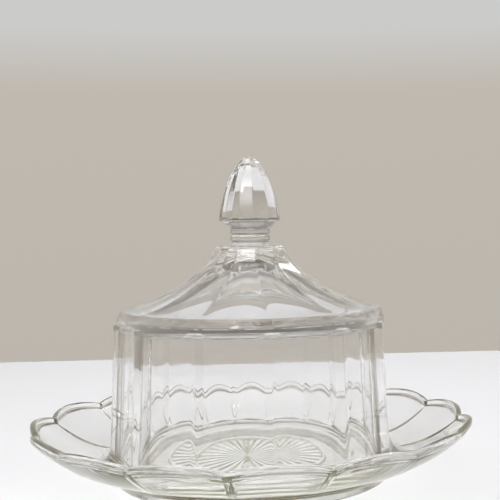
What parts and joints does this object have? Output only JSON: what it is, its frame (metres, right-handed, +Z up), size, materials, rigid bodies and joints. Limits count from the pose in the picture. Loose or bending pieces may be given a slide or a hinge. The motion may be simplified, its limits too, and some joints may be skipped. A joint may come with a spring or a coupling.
{
  "type": "butter dish",
  "caption": "Covered butter dish in clear pressed glass: a scalloped plate with a shallow well and star base, and a panelled dome lid with a pagoda roof and an acorn knob that lifts off.",
  "frame": {"origin": "middle of the plate's foot ring, on the surface that the dish stands on", "axes": "+Z up through the lid's knob, -Y towards the front of the dish, +X to the right"},
  "size_m": [0.1988, 0.1994, 0.1466],
  "materials": {
    "plate_glass": "clear pressed glass, fire-polished, with a faint olive tint where it is thick",
    "lid_glass": "clear pressed glass, fire-polished, slightly uneven, with a faint olive tint where it is thick"
  },
  "bodies": {
    "plate": {"plate": "plate_glass"},
    "lid": {"lid": "lid_glass"}
  },
  "joints": [
    {"name": "lid_lift", "type": "slide", "parent": "plate", "child": "lid", "axis": [0, 0, 1], "range_m": [0, 0.12]}
  ]
}
